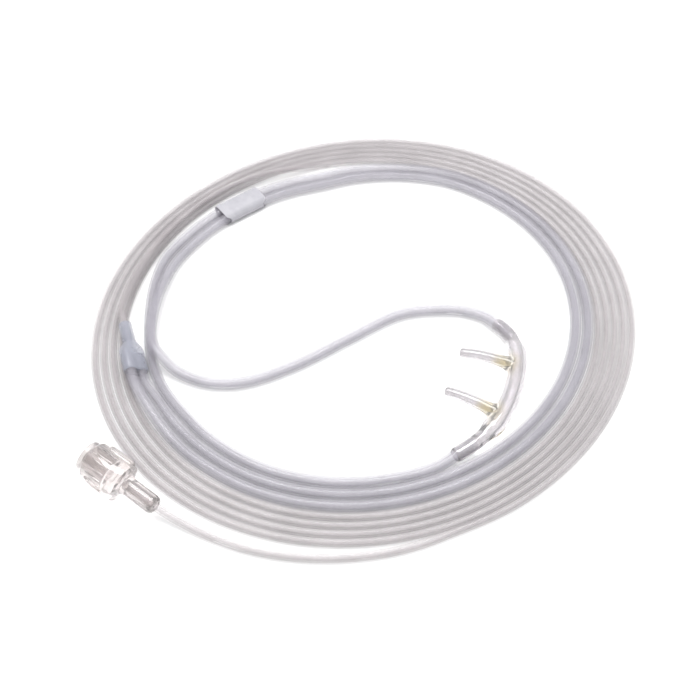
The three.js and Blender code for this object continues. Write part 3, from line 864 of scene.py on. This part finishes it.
# %% The six finishes
sampling_vinyl = moulded_plastic(
    "clear_extruded_vinyl", "#c9c3c5", "#beb8ba", 9, (0.16, 0.26), 0.28, coat=0.6)[0]
branch_vinyl = moulded_plastic(
    "lilac_clear_extruded_vinyl", "#bbb8c1", "#afacb5", 11, (0.16, 0.26), 0.31, coat=0.6)[0]
luer_acrylic = moulded_plastic(
    "clear_moulded_acrylic", "#dcd7d7", "#d0cac8", 5, (0.05, 0.16), 1.0, relief=0.15, coat=0.6,
    clearness=0.9)[0]
y_vinyl = moulded_plastic(
    "blue_grey_moulded_vinyl", "#b2b4c1", "#a5a8b5", 6, (0.22, 0.36), 0.45, relief=0.2,
    coat=0.4)[0]
slide_polyethylene = moulded_plastic(
    "frosted_polyethylene", "#c6c5cb", "#bab9c0", 4, (0.45, 0.62), 0.75, relief=0.4)[0]
dipped_vinyl, dipped_shader, dipped_tint = moulded_plastic(
    "clear_dipped_vinyl", "#dddbdd", "#d3d0d2", 7, (0.06, 0.16), 1.0, relief=0.1, coat=0.6,
    clearness=0.9)
print("finishes:", [material.name for material in bpy.data.materials])

# %% [markdown]
# The nosepiece is faintly yellow where its vinyl is thick, around the roots of the prongs. The
# distance to the nearer root says how yellow each place is.

# %% Yellow round the prongs' roots
ROOT_POINT = 4
YELLOW_FULL, YELLOW_GONE, YELLOW_SHARE = 1.5 * MM, 5 * MM, 0.6
place = add_node(dipped_vinyl, "ShaderNodeTexCoord")
distances = []
for prong_line in prong_lines:
    away = add_node(dipped_vinyl, "ShaderNodeVectorMath", operation="DISTANCE")
    link(dipped_vinyl, place.outputs["Object"], away.inputs[0])
    away.inputs[1].default_value = prong_line[ROOT_POINT] * MM
    distances.append(away.outputs["Value"])
nearer = add_node(dipped_vinyl, "ShaderNodeMath", operation="MINIMUM")
for source, socket in zip(distances, nearer.inputs):
    link(dipped_vinyl, source, socket)
thick = add_node(dipped_vinyl, "ShaderNodeMapRange", {"Value": nearer.outputs["Value"]},
                 From_Min=YELLOW_FULL, From_Max=YELLOW_GONE, To_Min=YELLOW_SHARE, To_Max=0.0)
warm = add_node(dipped_vinyl, "ShaderNodeMix", data_type="RGBA")
link(dipped_vinyl, thick.outputs["Result"], warm.inputs[0])
link(dipped_vinyl, dipped_tint.outputs["Color"], warm.inputs[6])
warm.inputs[7].default_value = linear("#d8cda4")
link(dipped_vinyl, warm.outputs[2], dipped_shader.inputs["Base Color"])

# %% [markdown]
# ## What each piece is
#
# Every piece gets its finish, the body that it moves with and the parts of the imported model
# that it stands for, which are hidden. The three tubes move with the cannula.

# %% Each piece's material, body and imported parts
for piece, material in ((sampling_line, sampling_vinyl), (lower_branch, branch_vinyl),
                        (upper_branch, branch_vinyl), (luer, luer_acrylic),
                        (y_piece, y_vinyl), (slide_piece, slide_polyethylene),
                        (nosepiece, dipped_vinyl)):
    piece.data.materials.clear()
    piece.data.materials.append(material)

# Clear pieces pass the light on to the floor, so they cast no shadow
for piece in (luer, nosepiece):
    piece.visible_shadow = False

for piece, node, body, slot in (
    (luer, "luer_connector", "cannula", "luer_plastic"),
    (y_piece, "y_connector", "cannula", "y_plastic"),
    (slide_piece, "slide", "slide", "slide_plastic"),
    (nosepiece, "nosepiece", "cannula", "nosepiece_vinyl"),
):
    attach(piece, body)
    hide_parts(node)
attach(sampling_line, "cannula")
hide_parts("sampling_line_lead", "sampling_line_coil", "sampling_line_tail")
for tube, path in ((lower_branch, lower_path), (upper_branch, upper_path)):
    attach(tube, "cannula")
    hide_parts(f"{tube.name}_lead", f"{tube.name}_turn", f"{tube.name}_run")

# %% [markdown]
# ## Floor and light
#
# The photograph has a white ground without shadows, as from a light tent. A wide plane of
# matt white paper and a bright sky do the same, and one large soft lamp above the coil and a
# little behind it draws the long highlight along each strand.

# %% Floor and lamp
floor_mesh = bpy.data.meshes.new("floor")
floor_shape = bmesh.new()
bmesh.ops.create_grid(floor_shape, x_segments=1, y_segments=1, size=3.0)
floor_shape.to_mesh(floor_mesh)
floor_shape.free()
floor = bpy.data.objects.new("floor", floor_mesh)
bpy.context.scene.collection.objects.link(floor)
paper, paper_shader = new_material("matt_white_paper")
paper_shader.inputs["Base Color"].default_value = linear("#f4f4f4")
paper_shader.inputs["Roughness"].default_value = 0.9
floor_mesh.materials.append(paper)

world = bpy.data.worlds.new("light_tent")
world.use_nodes = True
world.node_tree.nodes["Background"].inputs["Color"].default_value = linear("#ffffff")
world.node_tree.nodes["Background"].inputs["Strength"].default_value = 0.8
bpy.context.scene.world = world


def softbox(name, place, target, size, power):
    lamp = bpy.data.lights.new(name, "AREA")
    lamp.shape = "RECTANGLE"
    lamp.size, lamp.size_y = size
    lamp.energy = power
    light = bpy.data.objects.new(name, lamp)
    light.location = place
    light.rotation_euler = (target - light.location).to_track_quat("-Z", "Y").to_euler()
    bpy.context.scene.collection.objects.link(light)
    return light


lamp = softbox("overhead_softbox", Vector((0, 0.15, 0.9)), Vector((0, 0, 0)), (0.8, 0.5), 8.0)
bpy.context.scene.view_settings.view_transform = "Standard"
print(lamp.name, "of", lamp.data.energy, "W at", [round(c, 2) for c in lamp.location])
